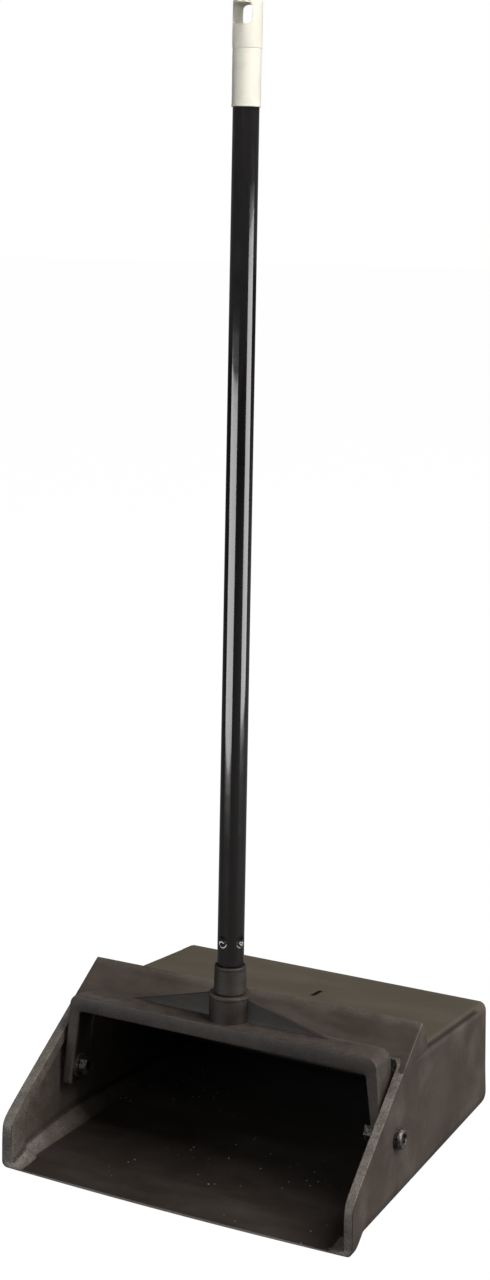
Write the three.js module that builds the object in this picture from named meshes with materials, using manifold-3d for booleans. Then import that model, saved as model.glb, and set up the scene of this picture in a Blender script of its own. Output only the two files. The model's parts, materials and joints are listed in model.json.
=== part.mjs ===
// An upright lobby dust pan: a hooded hopper, a yoke that swings on two pivot bolts,
// and a steel handle tube with a hanger cap. Millimetres, +Z up, +Y to the back, mouth to -Y.
import * as THREE from "three";
import { mergeVertices } from "three/addons/utils/BufferGeometryUtils.js";
import Module from "manifold-3d";

const wasm = await Module();
wasm.setup();

// Hopper, measured from the lip's corners: y runs back from the lip, z up from the floor.
const mouthWidth = 320;
const sideDraft = 9.5; // how much nearer the middle a side wall is at the back
const hopperDepth = 300;
const backLean = 4; // how far the back wall's top stands forward of its foot
const frontEdgeHeight = 37.9; // height at which the slanted edge would meet the lip's line
const frontEdgeRadius = 24;
const slantAngle = 33.4; // degrees above the floor
const hoodFrontHeight = 113;
const hoodRearHeight = 95;
const fasciaHeight = 131;
const earWidth = 11; // how far an ear's back edge leans behind the fascia's top edge
const lipBow = 3.5;
const sideWall = 4.5;
const rimWidth = 8; // the mouth's thicker edge
const rimDepth = 12;
const floorWall = 3;
const hoodWall = 3;
const backWall = 3.5;
const fasciaWall = 3.2;
const lipWall = 1.4;
const lipRamp = 30;
const troughDraft = 0.8;
const rearCornerRadius = 15;
const bottomEdgeRadius = 18;
const hoodEdgeRadius = 8;
const backTopRadius = 12;
const backFootRadius = 8;
const slotLength = 16;
const slotWidth = 3;
const slotCornerRadius = 1.4;
const slotX = 17;
const slotY = 225;

// Pivot and the fasteners on it.
const pivotY = 88;
const pivotZ = 57;
const boltRadius = 4;
const boltHeadRadius = 8;
const boltHeadHeight = 3.8;
const socketAcross = 8;
const socketDepth = 2.8;
const boltEnd = 1; // thread that shows past the nut
const boltEndChamfer = 0.6;
const headEdgeShare = 0.45; // of the head's height that is upright
const headShoulderShare = 0.94; // of the head's radius
const headTopShare = 0.78;
const washerRadius = 8.75;
const washerWall = 1.2;
const bushWall = 1.5;
const bushFlangeRadius = 9;
const bushFlangeWall = 2.2;
const nutAcross = 13;
const nutHeight = 6.5;

// Yoke, measured from the pivot axis in its own frame: y back, z along the handle.
const handleLean = 2.2; // degrees that the handle leans back at rest
const barBottom = 50;
const barTop = 63.5;
const yokeFront = -12.5;
const yokeRear = 15;
const armSplay = 0.13; // outward run of an arm's inner face for each millimetre down
const armOuterSplay = 0.085;
const armWidth = 8; // at the pivot
const armFoot = -14.5;
const armFootRadius = 3;
const yokeOuterRadius = 8.5;
const yokeInnerRadius = 3.5;
const barFrontRadius = 2;
const barRearRadius = 1.5;
const yokeSkin = 3;
const armBossRadius = 10.5;
const armBossProud = 1.3; // how far a pivot boss stands out of its arm's faces
const handleOffset = 8; // handle axis behind the pivot axis
const bossRadius = 17.2;
const bossTop = 85;
const bossLipRadius = 17.8;
const bossLipHeight = 2.4;
const bossLipChamfer = 0.6;
const gussetReach = 91.5;
const gussetWall = 3;
const socketDrop = 24;

// Stop ribs inside the hopper, behind the arms.
const stopWall = 6;
const stopLow = 14; // above the pivot
const stopHigh = 47;
const stopOverlap = 5; // how far a rib reaches behind its arm

// Ferrule, tube and hanger cap, along the handle's own axis.
const spigotRadius = 9.3;
const collarHeight = 23;
const collarWall = 1.9; // how far the collar's top stands out from the tube
const collarTaper = 0.7;
const plugLength = 37;
const plugChamfer = 2;
const tubeRadius = 11.1;
const tubeWall = 0.9;
const tubeLength = 738;
const capOverlap = 30;
const capSleeveWall = 0.65;
const capHeadStep = 0.4; // how far the cap's head stands out from its sleeve
const capSleeveLength = 48;
const capHeadLength = 40;
const capTopChamfer = 2;
const capHollowWall = 2.6;
const windowWidth = 18;
const windowBand = 2.6; // plastic above the window
const windowRadius = 4;

// Clearances.
const touchGap = 0.3;
const runningGap = 0.3;
const stopGap = 0.3;
const washerGap = 0.6; // the side wall is a little askew to the washers
const overrun = 20; // how far a cutter runs past what it cuts

const slope = Math.tan(THREE.MathUtils.degToRad(slantAngle));
const sideTaper = sideDraft / hopperDepth;
const halfWidthAt = (y) => mouthWidth / 2 - sideTaper * y;
const slantYAt = (z) => (z - frontEdgeHeight) / slope;
const hoodFrontY = slantYAt(hoodFrontHeight);
const hoodRearY = hopperDepth - backLean;
const hoodSlope = (hoodFrontHeight - hoodRearHeight) / (hoodRearY - hoodFrontY);
const hoodHeightAt = (y) => hoodFrontHeight - hoodSlope * (y - hoodFrontY);
const fasciaY = slantYAt(fasciaHeight);
const earY = fasciaY + earWidth;

// A closed geometry as a solid for joining and cutting.
function solid(geometry) {
  const bare = geometry.clone();
  bare.deleteAttribute("normal");
  bare.deleteAttribute("uv");
  const merged = mergeVertices(bare, 1e-4);
  return new wasm.Manifold(
    new wasm.Mesh({
      numProp: 3,
      vertProperties: new Float32Array(merged.attributes.position.array),
      triVerts: new Uint32Array(merged.index.array),
    }),
  );
}

function geometryOf(body) {
  const mesh = body.getMesh();
  const geometry = new THREE.BufferGeometry();
  geometry.setAttribute("position", new THREE.BufferAttribute(mesh.vertProperties, 3));
  geometry.setIndex(new THREE.BufferAttribute(mesh.triVerts, 1));
  geometry.computeVertexNormals();
  return geometry;
}

function material(color, roughness, metalness = 0) {
  return new THREE.MeshStandardMaterial({ color, roughness, metalness });
}

function named(name, geometry, look) {
  const mesh = new THREE.Mesh(geometry, look);
  mesh.name = name;
  return mesh;
}

// A closed outline through corner points [x, y, radius], each corner rounded by its radius.
function outline(corners) {
  const shape = new THREE.Shape();
  corners.forEach(([x, y, radius = 0], i) => {
    const corner = new THREE.Vector2(x, y);
    const before = new THREE.Vector2(...corners.at(i - 1).slice(0, 2)).sub(corner).normalize();
    const after = new THREE.Vector2(...corners[(i + 1) % corners.length].slice(0, 2))
      .sub(corner)
      .normalize();
    const halfAngle = Math.acos(THREE.MathUtils.clamp(before.dot(after), -1, 1)) / 2;
    const run = radius / Math.tan(halfAngle);
    const enter = corner.clone().addScaledVector(before, run);
    const leave = corner.clone().addScaledVector(after, run);
    if (i === 0) shape.moveTo(enter.x, enter.y);
    else shape.lineTo(enter.x, enter.y);
    if (radius > 0) shape.quadraticCurveTo(x, y, leave.x, leave.y);
  });
  shape.closePath();
  return shape;
}

const extrude = (shape, depth) =>
  new THREE.ExtrudeGeometry(shape, { depth, bevelEnabled: false, curveSegments: 6 });

// An outline in x and y, from one height to another.
const planPrism = (corners, low, high) =>
  extrude(outline(corners), high - low).translate(0, 0, low);

// An outline in y and z, from one x to another.
function sidePrism(corners, from, to) {
  const turn = new THREE.Matrix4().makeBasis(
    new THREE.Vector3(0, 1, 0),
    new THREE.Vector3(0, 0, 1),
    new THREE.Vector3(1, 0, 0),
  );
  return extrude(outline(corners), to - from).applyMatrix4(turn).translate(from, 0, 0);
}

// An outline in x and z, from one y to another.
const frontPrism = (corners, from, to) =>
  extrude(outline(corners), to - from).rotateX(Math.PI / 2).translate(0, to, 0);

// The same surface with its faces turned round.
function flipped(geometry) {
  const copy = geometry.index ? geometry.toNonIndexed() : geometry.clone();
  const at = copy.attributes.position;
  for (let i = 0; i < at.count; i += 3) {
    const corner = new THREE.Vector3().fromBufferAttribute(at, i);
    at.setXYZ(i, at.getX(i + 1), at.getY(i + 1), at.getZ(i + 1));
    at.setXYZ(i + 1, corner.x, corner.y, corner.z);
  }
  copy.computeVertexNormals();
  return copy;
}

// The same solid on the other side of the plane x = 0.
const mirrored = (geometry) => flipped(geometry.clone().scale(-1, 1, 1));

const bothSides = (geometry) => solid(geometry).add(solid(mirrored(geometry)));

// A turned piece about +Z: profile points are [radius, height].
const turned = (profile, sides = 40) =>
  new THREE.LatheGeometry(profile.map(([r, z]) => new THREE.Vector2(r, z)), sides).rotateX(
    Math.PI / 2,
  );

// A turned piece about +X.
const turnedAcross = (profile, sides = 32) => turned(profile, sides).rotateY(Math.PI / 2);

// The corner that a round edge takes away, along the line from one point to past another,
// where the two faces that meet look outwards along +X and along the given up direction.
function edgeCutter(radius, from, to, up) {
  const shape = new THREE.Shape();
  shape.moveTo(-radius, 1);
  shape.lineTo(1, 1);
  shape.lineTo(1, -radius);
  shape.lineTo(0, -radius);
  shape.absarc(-radius, -radius, radius, 0, Math.PI / 2, false);
  shape.closePath();
  const along = to.clone().sub(from).normalize();
  const outward = new THREE.Vector3(1, 0, 0).addScaledVector(along, -along.x).normalize();
  const upward = up.clone().addScaledVector(along, -along.dot(up));
  upward.addScaledVector(outward, -upward.dot(outward)).normalize();
  const turn = new THREE.Matrix4().makeBasis(outward, upward, along);
  const geometry = new THREE.ExtrudeGeometry(shape, {
    depth: from.distanceTo(to) + overrun,
    bevelEnabled: false,
    curveSegments: 8,
  });
  geometry.applyMatrix4(turn).translate(from.x, from.y, from.z);
  return turn.determinant() < 0 ? flipped(geometry) : geometry;
}

// The hopper's plan between two depths, drawn in from its outside by a wall at the sides.
function hopperPlan(side, front, rear, radius) {
  return [
    [-halfWidthAt(front) + side, front],
    [halfWidthAt(front) - side, front],
    [halfWidthAt(rear) - side, rear, radius],
    [-halfWidthAt(rear) + side, rear, radius],
  ];
}

// The plan again with the lip's bowed front edge.
function bowedPlan() {
  const shape = new THREE.Shape();
  const rear = outline(hopperPlan(0, 0, hopperDepth, rearCornerRadius)).getPoints(6);
  shape.moveTo(-mouthWidth / 2, 0);
  shape.quadraticCurveTo(0, -2 * lipBow, mouthWidth / 2, 0);
  rear.filter((point) => point.y > 1).forEach((point) => shape.lineTo(point.x, point.y));
  shape.closePath();
  return shape;
}

// The whole hopper before it is hollowed: hood, ears and the block that becomes the fascia.
function hopperOutside() {
  const toe = lipBow + 1;
  const section = [
    [-toe, 0],
    [hopperDepth, 0, backFootRadius],
    [hoodRearY, hoodRearHeight, backTopRadius],
    [earY, hoodHeightAt(earY)],
    [fasciaY, fasciaHeight, 4],
    [0, frontEdgeHeight, frontEdgeRadius],
    [0, 2 * lipWall],
    [-toe, 2 * lipWall],
  ];
  const body = solid(extrude(bowedPlan(), 2 * fasciaHeight).translate(0, 0, -overrun)).intersect(
    solid(sidePrism(section, -mouthWidth, mouthWidth)),
  );
  const foot = edgeCutter(
    bottomEdgeRadius,
    new THREE.Vector3(halfWidthAt(rimDepth), rimDepth, 0),
    new THREE.Vector3(halfWidthAt(hopperDepth), hopperDepth, 0),
    new THREE.Vector3(0, 0, -1),
  );
  const hood = edgeCutter(
    hoodEdgeRadius,
    new THREE.Vector3(halfWidthAt(earY + 1), earY + 1, hoodHeightAt(earY + 1)),
    new THREE.Vector3(halfWidthAt(hoodRearY), hoodRearY, hoodRearHeight),
    new THREE.Vector3(0, 0, 1),
  );
  return body.subtract(bothSides(foot)).subtract(bothSides(hood));
}

// The wedge between the fascia's back, the hood's top and the two ears. Its floor rises
// a little above the hood's line towards the back.
function trough() {
  const back = fasciaWall / Math.cos(Math.atan(slope));
  const foot =
    (hoodFrontHeight + hoodSlope * hoodFrontY - frontEdgeHeight + back) / (slope + hoodSlope);
  const section = [
    [foot, hoodHeightAt(foot)],
    [hopperDepth, hoodHeightAt(hopperDepth) + troughDraft],
    [hopperDepth, fasciaHeight + overrun],
    [slantYAt(fasciaHeight + overrun + back), fasciaHeight + overrun],
  ];
  const plan = hopperPlan(sideWall, 0, hopperDepth + overrun, 0);
  return solid(planPrism(plan, 0, 2 * fasciaHeight)).intersect(
    solid(sidePrism(section, -mouthWidth, mouthWidth)),
  );
}

// The thicker band of side wall just behind the mouth's edges.
function rims() {
  const shift = rimDepth / Math.sin(Math.atan(slope));
  const section = [
    [-2 * overrun, -overrun],
    [rimDepth, -overrun],
    [rimDepth, frontEdgeHeight + slope * (rimDepth - shift)],
    [slantYAt(fasciaHeight) + shift, fasciaHeight],
    [-2 * overrun, fasciaHeight],
  ];
  const between = hopperPlan(rimWidth, -3 * overrun, hopperDepth, 0);
  return solid(sidePrism(section, -mouthWidth, mouthWidth)).subtract(
    solid(planPrism(between, -2 * overrun, 2 * fasciaHeight)),
  );
}

// The space inside the hopper, run out through the mouth.
function hopperInside() {
  const roofFrontZ = hoodFrontHeight - hoodWall;
  const roofFrontY = slantYAt(roofFrontZ);
  const out = overrun / 3;
  const rear = hopperDepth - backWall;
  const section = [
    [-overrun, lipWall],
    [0, lipWall],
    [lipRamp, floorWall],
    [rear, floorWall, backFootRadius],
    [hoodRearY - backWall, hoodRearHeight - hoodWall, backTopRadius - backWall],
    [roofFrontY, roofFrontZ],
    [roofFrontY - out, roofFrontZ + out],
    [-overrun, roofFrontZ + out],
  ];
  const plan = hopperPlan(sideWall, -overrun, rear, rearCornerRadius - backWall);
  const foot = edgeCutter(
    bottomEdgeRadius - sideWall,
    new THREE.Vector3(halfWidthAt(rimDepth) - sideWall, rimDepth, floorWall),
    new THREE.Vector3(halfWidthAt(hopperDepth) - sideWall, hopperDepth, floorWall),
    new THREE.Vector3(0, 0, -1),
  );
  return solid(planPrism(plan, -overrun, fasciaHeight))
    .intersect(solid(sidePrism(section, -mouthWidth, mouthWidth)))
    .subtract(rims())
    .subtract(bothSides(foot));
}

// A rib on each side wall that the yoke's arm comes to rest against.
function stopRibs() {
  const inner = armOuterAt(stopLow) - stopOverlap;
  const rear = yokeRear + stopGap;
  const box = sidePrism(
    [
      [rear, stopLow],
      [rear + stopWall, stopLow],
      [rear + stopWall, stopHigh],
      [rear, stopHigh],
    ],
    inner,
    halfWidthAt(pivotY + yokeRear + stopWall) - sideWall / 2,
  );
  box.rotateX(THREE.MathUtils.degToRad(-handleLean)).translate(0, pivotY, pivotZ);
  return bothSides(box);
}

function hopper() {
  const bore = turnedAcross([
    [0, 0],
    [boltRadius + runningGap + bushWall + runningGap, 0],
    [boltRadius + runningGap + bushWall + runningGap, sideWall + 2 * overrun],
    [0, sideWall + 2 * overrun],
  ]);
  bore.translate(halfWidthAt(pivotY) - sideWall - overrun, pivotY, pivotZ);
  const slot = planPrism(
    [
      [slotX - slotWidth / 2, slotY - slotLength / 2, slotCornerRadius],
      [slotX + slotWidth / 2, slotY - slotLength / 2, slotCornerRadius],
      [slotX + slotWidth / 2, slotY + slotLength / 2, slotCornerRadius],
      [slotX - slotWidth / 2, slotY + slotLength / 2, slotCornerRadius],
    ],
    hoodRearHeight - overrun,
    hoodFrontHeight,
  );
  return geometryOf(
    hopperOutside()
      .subtract(trough())
      .subtract(hopperInside())
      .add(stopRibs())
      .subtract(bothSides(bore))
      .subtract(solid(slot)),
  );
}

// Places along +X where the right-hand pivot's pieces sit, from the wall inwards and outwards.
const wallOut = halfWidthAt(pivotY);
const wallIn = wallOut - sideWall;
const armOut = wallIn - washerGap - bushFlangeWall - touchGap;
const armInner = armOut - armBossProud - armWidth;
const washerIn = wallOut + washerGap;
const headIn = washerIn + washerWall + touchGap;
const nutWasherOut = armInner - armBossProud - touchGap;
const nutOut = nutWasherOut - washerWall - touchGap;

// Half the clear width between the yoke's arms at a height above the pivot.
const armInnerAt = (z) => armInner - armSplay * z;
const armInnerTop = armInnerAt(barBottom);
const armOuterAt = (z) => armInner + armWidth - armOuterSplay * z;

// The two arms and the bar across them. The bar is hollowed from below.
function bail() {
  const halfTop = armOuterAt(barTop);
  const halfFoot = armOuterAt(armFoot);
  const full = frontPrism(
    [
      [halfFoot, armFoot],
      [halfTop, barTop, yokeOuterRadius],
      [-halfTop, barTop, yokeOuterRadius],
      [-halfFoot, armFoot],
    ],
    yokeFront,
    yokeRear,
  );
  const halfClear = armInnerAt(armFoot - overrun);
  const clear = frontPrism(
    [
      [halfClear, armFoot - overrun],
      [armInnerTop, barBottom, yokeInnerRadius],
      [-armInnerTop, barBottom, yokeInnerRadius],
      [-halfClear, armFoot - overrun],
    ],
    yokeFront - overrun,
    yokeRear + overrun,
  );
  const section = sidePrism(
    [
      [yokeFront, armFoot, armFootRadius],
      [yokeRear, armFoot, armFootRadius],
      [yokeRear, barTop, barRearRadius],
      [yokeFront, barTop, barFrontRadius],
    ],
    -mouthWidth,
    mouthWidth,
  );
  const hollowEnd = armInnerTop - 2 * yokeSkin;
  const hollow = planPrism(
    [
      [-hollowEnd, yokeFront + yokeSkin, yokeSkin],
      [hollowEnd, yokeFront + yokeSkin, yokeSkin],
      [hollowEnd, yokeRear - yokeSkin, yokeSkin],
      [-hollowEnd, yokeRear - yokeSkin, yokeSkin],
    ],
    barBottom - overrun,
    barTop - yokeSkin,
  );
  return solid(full).subtract(solid(clear)).intersect(solid(section)).subtract(solid(hollow));
}

function yoke() {
  const armBoss = turnedAcross([
    [0, 0],
    [armBossRadius, 0],
    [armBossRadius, armWidth + 2 * armBossProud],
    [0, armWidth + 2 * armBossProud],
  ]);
  armBoss.translate(armInnerAt(0) - armBossProud, 0, 0);
  const hole = turnedAcross([
    [0, 0],
    [boltRadius + runningGap, 0],
    [boltRadius + runningGap, 2 * overrun],
    [0, 2 * overrun],
  ]);
  hole.translate(armInnerAt(0) - overrun / 2, 0, 0);
  const boss = turned(
    [
      [0, barBottom + yokeSkin],
      [bossRadius - (barTop - barBottom) / 2, barBottom + yokeSkin],
      [bossRadius, barTop],
      [bossRadius, bossTop - bossLipHeight],
      [bossLipRadius, bossTop - bossLipHeight],
      [bossLipRadius, bossTop - bossLipChamfer],
      [bossLipRadius - bossLipChamfer, bossTop],
      [0, bossTop],
    ],
    48,
  ).translate(0, handleOffset, 0);
  const socket = turned(
    [
      [0, bossTop - socketDrop],
      [spigotRadius + runningGap, bossTop - socketDrop],
      [spigotRadius + runningGap, bossTop + overrun],
      [0, bossTop + overrun],
    ],
    40,
  ).translate(0, handleOffset, 0);
  const gussets = frontPrism(
    [
      [gussetReach, barTop - 1],
      [0, bossTop - bossLipHeight + (bossRadius * (bossTop - barTop)) / gussetReach],
      [-gussetReach, barTop - 1],
    ],
    handleOffset - gussetWall / 2,
    handleOffset + gussetWall / 2,
  );
  return geometryOf(
    bail()
      .add(bothSides(armBoss))
      .add(solid(gussets))
      .add(solid(boss))
      .subtract(solid(socket))
      .subtract(bothSides(hole)),
  );
}

const collarFoot = bossTop + touchGap;
const tubeFoot = collarFoot + collarHeight + touchGap;
const tubeTop = tubeFoot + tubeLength;
const capFoot = tubeTop - capOverlap;
const capTop = capFoot + capSleeveLength + capHeadLength;
const windowTop = capTop - windowBand;
const collarTopRadius = tubeRadius + collarWall;
const capSleeveRadius = tubeRadius + runningGap + capSleeveWall;
const capHeadRadius = capSleeveRadius + capHeadStep;

// The moulded end that plugs into the tube and screws down into the yoke's boss.
function ferrule() {
  const plugRadius = tubeRadius - tubeWall - runningGap;
  return turned([
    [0, bossTop - socketDrop + touchGap],
    [spigotRadius - 1, bossTop - socketDrop + touchGap],
    [spigotRadius, bossTop - socketDrop + touchGap + 1],
    [spigotRadius, collarFoot],
    [collarTopRadius + collarTaper, collarFoot],
    [collarTopRadius, collarFoot + collarHeight],
    [plugRadius, collarFoot + collarHeight],
    [plugRadius, tubeFoot + plugLength - plugChamfer],
    [plugRadius - plugChamfer, tubeFoot + plugLength],
    [0, tubeFoot + plugLength],
  ]);
}

function handleTube() {
  return turned(
    [
      [tubeRadius - tubeWall, tubeFoot],
      [tubeRadius, tubeFoot],
      [tubeRadius, tubeTop],
      [tubeRadius - tubeWall, tubeTop],
      [tubeRadius - tubeWall, tubeFoot],
    ],
    48,
  );
}

function hangerCap() {
  const bore = tubeRadius + runningGap;
  const hollow = capHeadRadius - capHollowWall;
  const seam = capFoot + capSleeveLength;
  const body = solid(
    turned(
      [
        [bore, capFoot],
        [capSleeveRadius, capFoot],
        [capSleeveRadius, seam - 0.8],
        [capHeadRadius, seam],
        [capHeadRadius, capTop - capTopChamfer],
        [capHeadRadius - capTopChamfer, capTop],
        [0, capTop],
        [0, windowTop - windowWidth - windowBand],
        [hollow, windowTop - windowWidth - windowBand - 2],
        [hollow, tubeTop + touchGap],
        [bore, tubeTop + touchGap],
        [bore, capFoot],
      ],
      48,
    ),
  );
  const half = windowWidth / 2;
  const opening = frontPrism(
    [
      [-half, windowTop - windowWidth, windowRadius],
      [half, windowTop - windowWidth, windowRadius],
      [half, windowTop, windowRadius],
      [-half, windowTop, windowRadius],
    ],
    -overrun,
    overrun,
  );
  return geometryOf(body.subtract(solid(opening)));
}

function pivotBolt() {
  const dome = boltHeadHeight * headEdgeShare;
  const body = turnedAcross(
    [
      [0, nutOut - nutHeight - boltEnd],
      [boltRadius - boltEndChamfer, nutOut - nutHeight - boltEnd],
      [boltRadius, nutOut - nutHeight - boltEnd + boltEndChamfer],
      [boltRadius, headIn],
      [boltHeadRadius, headIn],
      [boltHeadRadius, headIn + dome],
      [boltHeadRadius * headShoulderShare, headIn + (dome + boltHeadHeight) / 2],
      [boltHeadRadius * headTopShare, headIn + boltHeadHeight],
      [0, headIn + boltHeadHeight],
    ],
    32,
  );
  const key = hexagon(socketAcross, headIn + boltHeadHeight - socketDepth, overrun);
  return geometryOf(solid(body).subtract(solid(key)));
}

// A hexagonal prism along +X.
function hexagon(across, from, length) {
  const reach = across / Math.sqrt(3);
  const corners = [0, 1, 2, 3, 4, 5].map((i) => [
    reach * Math.cos((i * Math.PI) / 3),
    reach * Math.sin((i * Math.PI) / 3),
  ]);
  return sidePrism(corners, from, from + length);
}

const ring = (inner, outer, from, to, sides = 32) =>
  turnedAcross(
    [
      [inner, from],
      [outer, from],
      [outer, to],
      [inner, to],
      [inner, from],
    ],
    sides,
  );

const pivotWasher = () =>
  ring(boltRadius + runningGap, washerRadius, washerIn, washerIn + washerWall);

const nutWasher = () =>
  ring(boltRadius + runningGap, washerRadius, nutWasherOut - washerWall, nutWasherOut);

// A flanged sleeve: the flange keeps the arm off the wall, the sleeve turns in the wall's bore.
function pivotBush() {
  const inner = boltRadius + runningGap;
  const flange = armOut + touchGap;
  return turnedAcross([
    [inner, flange],
    [bushFlangeRadius, flange],
    [bushFlangeRadius, wallIn - washerGap],
    [inner + bushWall, wallIn - washerGap],
    [inner + bushWall, wallOut + washerGap - touchGap],
    [inner, wallOut + washerGap - touchGap],
    [inner, flange],
  ]);
}

function pivotNut() {
  const body = solid(hexagon(nutAcross, nutOut - nutHeight, nutHeight));
  const hole = turnedAcross([
    [0, nutOut - overrun],
    [boltRadius + runningGap, nutOut - overrun],
    [boltRadius + runningGap, nutOut + overrun],
    [0, nutOut + overrun],
  ]);
  return geometryOf(body.subtract(solid(hole)));
}

const blackPlastic = material(0x3a3531, 0.55);
const darkSteel = material(0x2a2726, 0.42, 0.6);
const platedSteel = material(0x8d8b87, 0.35, 0.9);

const lobbyPan = new THREE.Group();
lobbyPan.add(named("hopper", hopper(), blackPlastic));
const middle = new THREE.Box3().setFromObject(lobbyPan).getCenter(new THREE.Vector3());
lobbyPan.position.set(0, -middle.y, 0);

const swing = new THREE.Group();
swing.position.set(0, pivotY, pivotZ);
swing.rotation.x = THREE.MathUtils.degToRad(-handleLean);
lobbyPan.add(swing);
swing.add(named("yoke", yoke(), material(0x413b36, 0.5)));

const handle = new THREE.Group();
handle.position.set(0, handleOffset, 0);
swing.add(handle);
handle.add(named("ferrule", ferrule(), material(0x35312e, 0.5)));
handle.add(named("handle_tube", handleTube(), material(0x14110f, 0.18)));
handle.add(named("hanger_cap", hangerCap(), material(0xe9e5d3, 0.35)));

const fasteners = [
  ["pivot_bolt", pivotBolt, darkSteel],
  ["pivot_washer", pivotWasher, darkSteel],
  ["pivot_bush", pivotBush, material(0x24211f, 0.5)],
  ["nut_washer", nutWasher, platedSteel],
  ["pivot_nut", pivotNut, platedSteel],
];
for (const [name, make, look] of fasteners) {
  swing.add(named(name + "_right", make(), look));
  swing.add(named(name + "_left", mirrored(make()), look));
}

export default lobbyPan;
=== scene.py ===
import json
import math

import bpy
import numpy as np
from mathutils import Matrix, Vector


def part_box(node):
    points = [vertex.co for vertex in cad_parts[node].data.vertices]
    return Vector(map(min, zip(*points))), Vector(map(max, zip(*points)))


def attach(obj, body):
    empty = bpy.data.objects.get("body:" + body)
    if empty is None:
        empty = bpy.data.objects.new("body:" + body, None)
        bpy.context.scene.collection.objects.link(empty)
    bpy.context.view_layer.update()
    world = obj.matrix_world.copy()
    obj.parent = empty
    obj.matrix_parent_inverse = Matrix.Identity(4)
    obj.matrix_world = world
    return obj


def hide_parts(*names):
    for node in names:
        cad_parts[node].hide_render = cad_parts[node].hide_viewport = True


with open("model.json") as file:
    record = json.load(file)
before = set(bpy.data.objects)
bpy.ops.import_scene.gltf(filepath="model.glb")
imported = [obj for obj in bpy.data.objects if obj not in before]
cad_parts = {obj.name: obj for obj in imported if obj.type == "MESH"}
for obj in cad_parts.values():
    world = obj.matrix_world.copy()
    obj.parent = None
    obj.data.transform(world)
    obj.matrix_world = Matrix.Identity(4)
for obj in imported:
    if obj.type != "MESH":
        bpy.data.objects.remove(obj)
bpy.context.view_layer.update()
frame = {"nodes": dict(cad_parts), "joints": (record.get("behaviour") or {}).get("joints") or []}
print("frame loaded")

# Millimetres are used for shapes below; meshes are written in metres.
mm = 0.001
hopperLow, hopperHigh = [np.array(c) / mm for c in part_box("hopper")]
pivot = np.array(frame["joints"][0]["pos_m"]) / mm


def smoothStep(x, start, end):
    # 0 before start, 1 after end and a smooth cubic between them
    t = np.clip((x - start) / (end - start), 0, 1)
    return t * t * (3 - 2 * t)


def linkMesh(name, vertices, faces, sharpDegrees):
    # one closed mesh in metres, smooth but for its sharp edges
    mesh = bpy.data.meshes.new(name)
    mesh.from_pydata((vertices * mm).tolist(), [], faces)
    mesh.update()
    mesh.polygons.foreach_set("use_smooth", np.ones(len(mesh.polygons), bool))
    mesh.set_sharp_from_angle(angle=math.radians(sharpDegrees))
    piece = bpy.data.objects.new(name, mesh)
    bpy.context.scene.collection.objects.link(piece)
    return piece


def closedSurface(name, rows, sharpDegrees=40):
    # rows is a grid of points [row, column, xyz] whose columns run round a loop; the first
    # and last rows close to a pole at their middles
    count, columns, _ = rows.shape
    grid = np.arange(count * columns).reshape(count, columns)
    across = np.roll(grid, -1, axis=1)
    quads = np.stack([grid[:-1], across[:-1], across[1:], grid[1:]], axis=-1).reshape(-1, 4)
    startPole, endPole = count * columns, count * columns + 1
    startFan = np.stack([np.full(columns, startPole), across[0], grid[0]], axis=-1)
    endFan = np.stack([np.full(columns, endPole), grid[-1], across[-1]], axis=-1)
    poles = np.array([rows[0].mean(axis=0), rows[-1].mean(axis=0)])
    vertices = np.concatenate([rows.reshape(-1, 3), poles])
    triangles = np.concatenate([quads[:, [0, 1, 2]], quads[:, [0, 2, 3]], startFan, endFan])
    a, b, c = (vertices[triangles[:, i]] for i in range(3))
    if np.einsum("ij,ij->i", a, np.cross(b, c)).sum() < 0:
        quads, startFan, endFan = quads[:, ::-1], startFan[:, ::-1], endFan[:, ::-1]
    faces = quads.tolist() + startFan.tolist() + endFan.tolist()
    return linkMesh(name, vertices, faces, sharpDegrees)


def turnedRows(profile, columns, axis="z"):
    # a profile of [radius, height] points turned about an axis through the origin
    profile = np.array(profile, float)
    angle = np.linspace(0, 2 * math.pi, columns, endpoint=False)
    radius, height = profile[:, :1], profile[:, 1:]
    ring = [radius * np.cos(angle), radius * np.sin(angle), height + 0 * angle]
    rows = np.stack(ring, axis=-1)
    return rows if axis == "z" else rows[..., [2, 0, 1]]


def roundedProfile(points, steps=5):
    # a profile through [radius, height, roundness] points; each corner is a quadratic curve
    # that leaves its two edges at the roundness from the corner, or half an edge at most
    points = [np.array(p, float) for p in points]
    made = []
    for i, point in enumerate(points):
        round_ = point[2] if len(point) > 2 else 0
        if round_ <= 0 or i in (0, len(points) - 1):
            made.append(point[:2])
            continue
        before, after = points[i - 1][:2] - point[:2], points[i + 1][:2] - point[:2]
        reach = min(round_, 0.49 * np.linalg.norm(before), 0.49 * np.linalg.norm(after))
        start = point[:2] + before / np.linalg.norm(before) * reach
        end = point[:2] + after / np.linalg.norm(after) * reach
        t = np.linspace(0, 1, steps + 1)[:, None]
        made.extend((1 - t) ** 2 * start + 2 * t * (1 - t) * point[:2] + t**2 * end)
    return np.array(made)


def setAttribute(piece, name, values):
    # one number for each point, for the materials to read
    layer = piece.data.attributes.new(name, "FLOAT", "POINT")
    layer.data.foreach_set("value", np.asarray(values, np.float32).ravel())


def handleFrame(rows):
    # from the handle's own upright frame at the pivot to its leaning place
    lean = math.radians(handleShape["lean"])
    turned = rows.copy()
    turned[..., 1] = rows[..., 1] * math.cos(lean) + rows[..., 2] * math.sin(lean)
    turned[..., 2] = rows[..., 2] * math.cos(lean) - rows[..., 1] * math.sin(lean)
    return turned + pivot



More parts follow.
